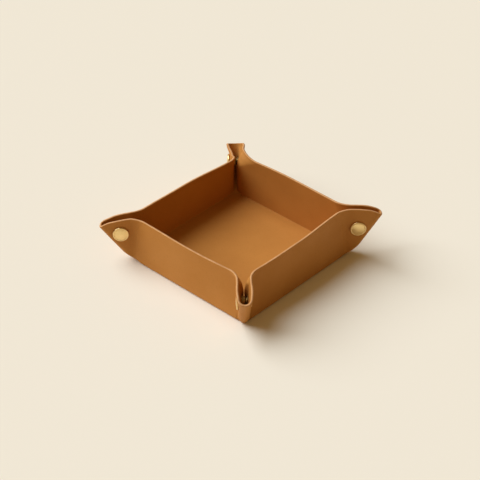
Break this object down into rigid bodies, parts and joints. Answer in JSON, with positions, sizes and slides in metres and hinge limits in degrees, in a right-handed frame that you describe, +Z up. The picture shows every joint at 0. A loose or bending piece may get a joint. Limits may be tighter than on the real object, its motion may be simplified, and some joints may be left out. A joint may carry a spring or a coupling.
{
  "type": "valet tray",
  "caption": "Square leather tray with low turned-up walls and pinched corner ears held shut by ring snaps, which opens flat.",
  "frame": {"origin": "on the table, under the middle of the bottom panel", "axes": "+Z up; +X and +Y across the tray, each towards a wall, with the front wall at -Y"},
  "size_m": [0.1582, 0.1582, 0.041],
  "materials": {
    "leather": "smooth tan cowhide with fine grain and paler cut edges",
    "brass": "satin polished",
    "ring_spring": "drawn wire"
  },
  "bodies": {
    "bottom": {"bottom_panel": "leather"},
    "front_wall": {"front_wall": "leather"},
    "right_wall": {"right_wall": "leather"},
    "back_wall": {"back_wall": "leather"},
    "left_wall": {"left_wall": "leather"},
    "front_left_ear_cap_side": {"front_left_ear_cap_side": "leather", "front_left_snap_cap": "brass", "front_left_snap_socket": "brass", "front_left_snap_spring": "ring_spring"},
    "front_left_ridge_cap_side": {"front_left_ridge_cap_side": "leather"},
    "front_left_ear_stud_side": {"front_left_ear_stud_side": "leather", "front_left_snap_stud": "brass", "front_left_snap_eyelet": "brass"},
    "front_left_ridge_stud_side": {"front_left_ridge_stud_side": "leather"},
    "front_right_ear_stud_side": {"front_right_ear_stud_side": "leather", "front_right_snap_stud": "brass", "front_right_snap_eyelet": "brass"},
    "front_right_ridge_stud_side": {"front_right_ridge_stud_side": "leather"},
    "front_right_ear_cap_side": {"front_right_ear_cap_side": "leather", "front_right_snap_cap": "brass", "front_right_snap_socket": "brass", "front_right_snap_spring": "ring_spring"},
    "front_right_ridge_cap_side": {"front_right_ridge_cap_side": "leather"},
    "back_right_ear_stud_side": {"back_right_ear_stud_side": "leather", "back_right_snap_stud": "brass", "back_right_snap_eyelet": "brass"},
    "back_right_ridge_stud_side": {"back_right_ridge_stud_side": "leather"},
    "back_right_ear_cap_side": {"back_right_ear_cap_side": "leather", "back_right_snap_cap": "brass", "back_right_snap_socket": "brass", "back_right_snap_spring": "ring_spring"},
    "back_right_ridge_cap_side": {"back_right_ridge_cap_side": "leather"},
    "back_left_ear_cap_side": {"back_left_ear_cap_side": "leather", "back_left_snap_cap": "brass", "back_left_snap_socket": "brass", "back_left_snap_spring": "ring_spring"},
    "back_left_ridge_cap_side": {"back_left_ridge_cap_side": "leather"},
    "back_left_ear_stud_side": {"back_left_ear_stud_side": "leather", "back_left_snap_stud": "brass", "back_left_snap_eyelet": "brass"},
    "back_left_ridge_stud_side": {"back_left_ridge_stud_side": "leather"}
  },
  "joints": [
    {"name": "front_wall_fold", "type": "hinge", "parent": "bottom", "child": "front_wall", "pos_m": [0, -0.06, 0.001], "axis": [1, 0, 0], "range_deg": [0, 93]},
    {"name": "right_wall_fold", "type": "hinge", "parent": "bottom", "child": "right_wall", "pos_m": [0.06, 0, 0.001], "axis": [0, 1, 0], "range_deg": [0, 93]},
    {"name": "back_wall_fold", "type": "hinge", "parent": "bottom", "child": "back_wall", "pos_m": [0, 0.06, 0.001], "axis": [-1, 0, 0], "range_deg": [0, 93]},
    {"name": "left_wall_fold", "type": "hinge", "parent": "bottom", "child": "left_wall", "pos_m": [-0.06, 0, 0.001], "axis": [0, -1, 0], "range_deg": [0, 93]},
    {"name": "front_left_ear_cap_side_fold", "type": "hinge", "parent": "front_wall", "child": "front_left_ear_cap_side", "pos_m": [-0.05491, -0.06, 0.001], "axis": [-0.0523, -0.0523, -0.9973], "range_deg": [0, 45.08]},
    {"name": "front_left_ridge_cap_side_fold", "type": "hinge", "parent": "front_left_ear_cap_side", "child": "front_left_ridge_cap_side", "pos_m": [-0.05491, -0.06, 0.001], "axis": [-0.4353, -0.4353, 0.788], "range_deg": [0, 45]},
    {"name": "front_left_ear_stud_side_fold", "type": "hinge", "parent": "left_wall", "child": "front_left_ear_stud_side", "pos_m": [-0.06, -0.05491, 0.001], "axis": [0.0523, 0.0523, 0.9973], "range_deg": [0, 45.08]},
    {"name": "front_left_ridge_stud_side_fold", "type": "hinge", "parent": "front_left_ear_stud_side", "child": "front_left_ridge_stud_side", "pos_m": [-0.06, -0.05491, 0.001], "axis": [0.4353, 0.4353, -0.788], "range_deg": [0, 45]},
    {"name": "front_right_ear_stud_side_fold", "type": "hinge", "parent": "right_wall", "child": "front_right_ear_stud_side", "pos_m": [0.06, -0.05491, 0.001], "axis": [0.0523, -0.0523, -0.9973], "range_deg": [0, 45.08]},
    {"name": "front_right_ridge_stud_side_fold", "type": "hinge", "parent": "front_right_ear_stud_side", "child": "front_right_ridge_stud_side", "pos_m": [0.06, -0.05491, 0.001], "axis": [0.4353, -0.4353, 0.788], "range_deg": [0, 45]},
    {"name": "front_right_ear_cap_side_fold", "type": "hinge", "parent": "front_wall", "child": "front_right_ear_cap_side", "pos_m": [0.05491, -0.06, 0.001], "axis": [-0.0523, 0.0523, 0.9973], "range_deg": [0, 45.08]},
    {"name": "front_right_ridge_cap_side_fold", "type": "hinge", "parent": "front_right_ear_cap_side", "child": "front_right_ridge_cap_side", "pos_m": [0.05491, -0.06, 0.001], "axis": [-0.4353, 0.4353, -0.788], "range_deg": [0, 45]},
    {"name": "back_right_ear_stud_side_fold", "type": "hinge", "parent": "back_wall", "child": "back_right_ear_stud_side", "pos_m": [0.05491, 0.06, 0.001], "axis": [0.0523, 0.0523, -0.9973], "range_deg": [0, 45.08]},
    {"name": "back_right_ridge_stud_side_fold", "type": "hinge", "parent": "back_right_ear_stud_side", "child": "back_right_ridge_stud_side", "pos_m": [0.05491, 0.06, 0.001], "axis": [0.4353, 0.4353, 0.788], "range_deg": [0, 45]},
    {"name": "back_right_ear_cap_side_fold", "type": "hinge", "parent": "right_wall", "child": "back_right_ear_cap_side", "pos_m": [0.06, 0.05491, 0.001], "axis": [-0.0523, -0.0523, 0.9973], "range_deg": [0, 45.08]},
    {"name": "back_right_ridge_cap_side_fold", "type": "hinge", "parent": "back_right_ear_cap_side", "child": "back_right_ridge_cap_side", "pos_m": [0.06, 0.05491, 0.001], "axis": [-0.4353, -0.4353, -0.788], "range_deg": [0, 45]},
    {"name": "back_left_ear_cap_side_fold", "type": "hinge", "parent": "left_wall", "child": "back_left_ear_cap_side", "pos_m": [-0.06, 0.05491, 0.001], "axis": [-0.0523, 0.0523, -0.9973], "range_deg": [0, 45.08]},
    {"name": "back_left_ridge_cap_side_fold", "type": "hinge", "parent": "back_left_ear_cap_side", "child": "back_left_ridge_cap_side", "pos_m": [-0.06, 0.05491, 0.001], "axis": [-0.4353, 0.4353, 0.788], "range_deg": [0, 45]},
    {"name": "back_left_ear_stud_side_fold", "type": "hinge", "parent": "back_wall", "child": "back_left_ear_stud_side", "pos_m": [-0.05491, 0.06, 0.001], "axis": [0.0523, -0.0523, 0.9973], "range_deg": [0, 45.08]},
    {"name": "back_left_ridge_stud_side_fold", "type": "hinge", "parent": "back_left_ear_stud_side", "child": "back_left_ridge_stud_side", "pos_m": [-0.05491, 0.06, 0.001], "axis": [0.4353, -0.4353, -0.788], "range_deg": [0, 45]}
  ],
  "couplings": [
    {"joint": "right_wall_fold", "follows": "front_wall_fold", "ratio": 1},
    {"joint": "back_wall_fold", "follows": "front_wall_fold", "ratio": 1},
    {"joint": "left_wall_fold", "follows": "front_wall_fold", "ratio": 1},
    {"joint": "front_left_ear_cap_side_fold", "follows": "front_wall_fold", "ratio": 0.48471},
    {"joint": "front_left_ridge_cap_side_fold", "follows": "front_wall_fold", "ratio": 0.48387},
    {"joint": "front_left_ear_stud_side_fold", "follows": "front_wall_fold", "ratio": 0.48471},
    {"joint": "front_left_ridge_stud_side_fold", "follows": "front_wall_fold", "ratio": 0.48387},
    {"joint": "front_right_ear_stud_side_fold", "follows": "front_wall_fold", "ratio": 0.48471},
    {"joint": "front_right_ridge_stud_side_fold", "follows": "front_wall_fold", "ratio": 0.48387},
    {"joint": "front_right_ear_cap_side_fold", "follows": "front_wall_fold", "ratio": 0.48471},
    {"joint": "front_right_ridge_cap_side_fold", "follows": "front_wall_fold", "ratio": 0.48387},
    {"joint": "back_right_ear_stud_side_fold", "follows": "front_wall_fold", "ratio": 0.48471},
    {"joint": "back_right_ridge_stud_side_fold", "follows": "front_wall_fold", "ratio": 0.48387},
    {"joint": "back_right_ear_cap_side_fold", "follows": "front_wall_fold", "ratio": 0.48471},
    {"joint": "back_right_ridge_cap_side_fold", "follows": "front_wall_fold", "ratio": 0.48387},
    {"joint": "back_left_ear_cap_side_fold", "follows": "front_wall_fold", "ratio": 0.48471},
    {"joint": "back_left_ridge_cap_side_fold", "follows": "front_wall_fold", "ratio": 0.48387},
    {"joint": "back_left_ear_stud_side_fold", "follows": "front_wall_fold", "ratio": 0.48471},
    {"joint": "back_left_ridge_stud_side_fold", "follows": "front_wall_fold", "ratio": 0.48387}
  ]
}
